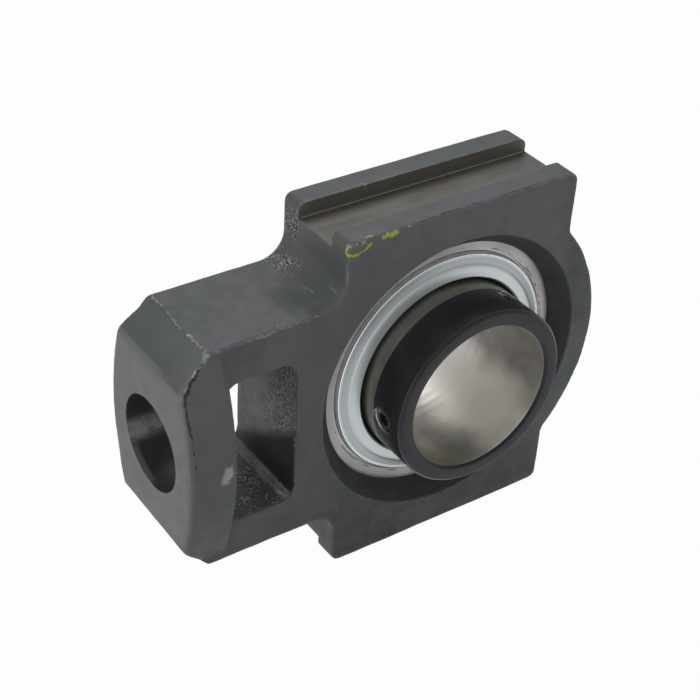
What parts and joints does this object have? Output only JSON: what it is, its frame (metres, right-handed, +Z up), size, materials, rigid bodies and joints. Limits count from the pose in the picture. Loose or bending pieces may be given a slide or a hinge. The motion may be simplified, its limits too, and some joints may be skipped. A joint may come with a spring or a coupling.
{
  "type": "take up bearing unit",
  "caption": "Sliding take-up bearing unit: cast frame with guide grooves, adjusting screw boss and nut window, and a self-aligning set screw ball bearing.",
  "frame": {"origin": "centre of the bearing, where the shaft axis meets the middle plane of the spherical seat", "axes": "X is the take-up direction with the adjusting screw boss at -X and the round nose at +X, Y is the shaft axis with the set screw collar at -Y, +Z is up"},
  "size_m": [0.2257, 0.0784, 0.167],
  "materials": {
    "cast_housing": "thin dark grey paint over cast skin, machined guide grooves and seat",
    "ring_steel": "ground bearing steel",
    "black_oxide": "glossy blue-black oxide outside, bright turned bore",
    "ball_steel": "polished",
    "cage_steel": "pressed sheet",
    "zinc_shield": "bright zinc plated pressed sheet",
    "seal_rubber": "moulded nitrile rubber",
    "screw_steel": "black oxide",
    "nipple_steel": "zinc plated"
  },
  "bodies": {
    "frame": {"housing": "cast_housing", "grease_nipple": "nipple_steel", "nipple_spring": "nipple_steel"},
    "outer_ring": {"outer_ring": "ring_steel", "shield_front": "zinc_shield", "shield_rear": "zinc_shield", "seal_front": "seal_rubber", "seal_rear": "seal_rubber"},
    "inner_ring": {"inner_ring": "black_oxide"},
    "cage": {"cage_front": "cage_steel", "cage_rear": "cage_steel", "cage_rivets": "cage_steel"},
    "ball_01": {"ball_01": "ball_steel"},
    "ball_02": {"ball_02": "ball_steel"},
    "ball_03": {"ball_03": "ball_steel"},
    "ball_04": {"ball_04": "ball_steel"},
    "ball_05": {"ball_05": "ball_steel"},
    "ball_06": {"ball_06": "ball_steel"},
    "ball_07": {"ball_07": "ball_steel"},
    "ball_08": {"ball_08": "ball_steel"},
    "ball_09": {"ball_09": "ball_steel"},
    "ball_10": {"ball_10": "ball_steel"},
    "set_screw_1": {"set_screw_1": "screw_steel"},
    "set_screw_2": {"set_screw_2": "screw_steel"},
    "nipple_ball": {"nipple_ball": "ball_steel"}
  },
  "joints": [
    {"name": "self_align", "type": "hinge", "parent": "frame", "child": "outer_ring", "pos_m": [0, 0, 0], "axis": [0, 0, 1], "range_deg": [-2, 2]},
    {"name": "shaft_spin", "type": "hinge", "parent": "outer_ring", "child": "inner_ring", "pos_m": [0, 0, 0], "axis": [0, 1, 0], "continuous": true},
    {"name": "cage_spin", "type": "hinge", "parent": "outer_ring", "child": "cage", "pos_m": [0, 0, 0], "axis": [0, 1, 0], "continuous": true},
    {"name": "ball_01_spin", "type": "hinge", "parent": "cage", "child": "ball_01", "pos_m": [0.04875, 0, 0], "axis": [0, 1, 0], "continuous": true},
    {"name": "ball_02_spin", "type": "hinge", "parent": "cage", "child": "ball_02", "pos_m": [0.03944, 0, 0.02865], "axis": [0, 1, 0], "continuous": true},
    {"name": "ball_03_spin", "type": "hinge", "parent": "cage", "child": "ball_03", "pos_m": [0.01506, 0, 0.04636], "axis": [0, 1, 0], "continuous": true},
    {"name": "ball_04_spin", "type": "hinge", "parent": "cage", "child": "ball_04", "pos_m": [-0.01506, 0, 0.04636], "axis": [0, 1, 0], "continuous": true},
    {"name": "ball_05_spin", "type": "hinge", "parent": "cage", "child": "ball_05", "pos_m": [-0.03944, 0, 0.02865], "axis": [0, 1, 0], "continuous": true},
    {"name": "ball_06_spin", "type": "hinge", "parent": "cage", "child": "ball_06", "pos_m": [-0.04875, 0, 0], "axis": [0, 1, 0], "continuous": true},
    {"name": "ball_07_spin", "type": "hinge", "parent": "cage", "child": "ball_07", "pos_m": [-0.03944, 0, -0.02865], "axis": [0, 1, 0], "continuous": true},
    {"name": "ball_08_spin", "type": "hinge", "parent": "cage", "child": "ball_08", "pos_m": [-0.01506, 0, -0.04636], "axis": [0, 1, 0], "continuous": true},
    {"name": "ball_09_spin", "type": "hinge", "parent": "cage", "child": "ball_09", "pos_m": [0.01506, 0, -0.04636], "axis": [0, 1, 0], "continuous": true},
    {"name": "ball_10_spin", "type": "hinge", "parent": "cage", "child": "ball_10", "pos_m": [0.03944, 0, -0.02865], "axis": [0, 1, 0], "continuous": true},
    {"name": "set_screw_1_travel", "type": "slide", "parent": "inner_ring", "child": "set_screw_1", "axis": [-0.515, 0, -0.8572], "range_m": [-0.001, 0.0012]},
    {"name": "set_screw_2_travel", "type": "slide", "parent": "inner_ring", "child": "set_screw_2", "axis": [0.9954, 0, 0.0958], "range_m": [-0.001, 0.0012]},
    {"name": "nipple_ball_travel", "type": "slide", "parent": "frame", "child": "nipple_ball", "axis": [-1, 0, 0], "range_m": [0, 0.0008], "stiffness_N_per_m": 600, "springref_m": -0.0005, "deforming": ["nipple_spring"]}
  ],
  "couplings": [
    {"joint": "cage_spin", "follows": "shaft_spin", "ratio": 0.41045},
    {"joint": "ball_01_spin", "follows": "shaft_spin", "ratio": -2.7021},
    {"joint": "ball_02_spin", "follows": "shaft_spin", "ratio": -2.7021},
    {"joint": "ball_03_spin", "follows": "shaft_spin", "ratio": -2.7021},
    {"joint": "ball_04_spin", "follows": "shaft_spin", "ratio": -2.7021},
    {"joint": "ball_05_spin", "follows": "shaft_spin", "ratio": -2.7021},
    {"joint": "ball_06_spin", "follows": "shaft_spin", "ratio": -2.7021},
    {"joint": "ball_07_spin", "follows": "shaft_spin", "ratio": -2.7021},
    {"joint": "ball_08_spin", "follows": "shaft_spin", "ratio": -2.7021},
    {"joint": "ball_09_spin", "follows": "shaft_spin", "ratio": -2.7021},
    {"joint": "ball_10_spin", "follows": "shaft_spin", "ratio": -2.7021}
  ]
}
